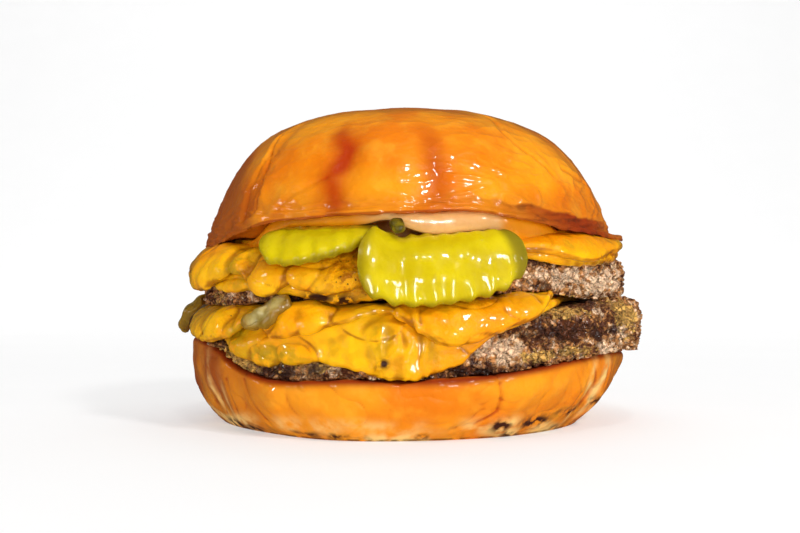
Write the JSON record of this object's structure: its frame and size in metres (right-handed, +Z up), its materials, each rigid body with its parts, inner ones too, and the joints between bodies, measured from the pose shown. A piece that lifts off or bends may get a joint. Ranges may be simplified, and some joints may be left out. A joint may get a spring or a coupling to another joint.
{
  "type": "double cheeseburger",
  "caption": "Cheeseburger in a glossy soft bun, with stacked smashed patties, melted cheese, crinkle-cut pickle, grilled onion and a layer of sauce.",
  "frame": {"origin": "on the flat base of the bun's heel, under the middle of the whole burger", "axes": "+Z up through the stack, -Y towards the front, where the pickles show, +X to the right"},
  "size_m": [0.1122, 0.114, 0.0751],
  "materials": {
    "crust": "glossy egg-washed bread crust, orange to golden brown",
    "beef": "seared ground beef, charred brown with pale crumb",
    "cheese": "melted processed cheese, satin to glossy yellow-orange",
    "pickle": "wet yellow-green pickled cucumber",
    "onion": "grilled onion, translucent olive",
    "sauce": "creamy pale orange sauce"
  },
  "bodies": {
    "root": {"bun_bottom": "crust", "patty_lower": "beef", "cheese_lower_first": "cheese", "cheese_lower_second": "cheese", "patty_upper": "beef", "cheese_upper_first": "cheese", "cheese_upper_second": "cheese", "onion_front": "onion", "onion_side": "onion", "pickle_left": "pickle", "pickle_right": "pickle", "pickle_tip": "pickle", "sauce": "sauce", "bun_top": "crust"}
  },
  "joints": []
}
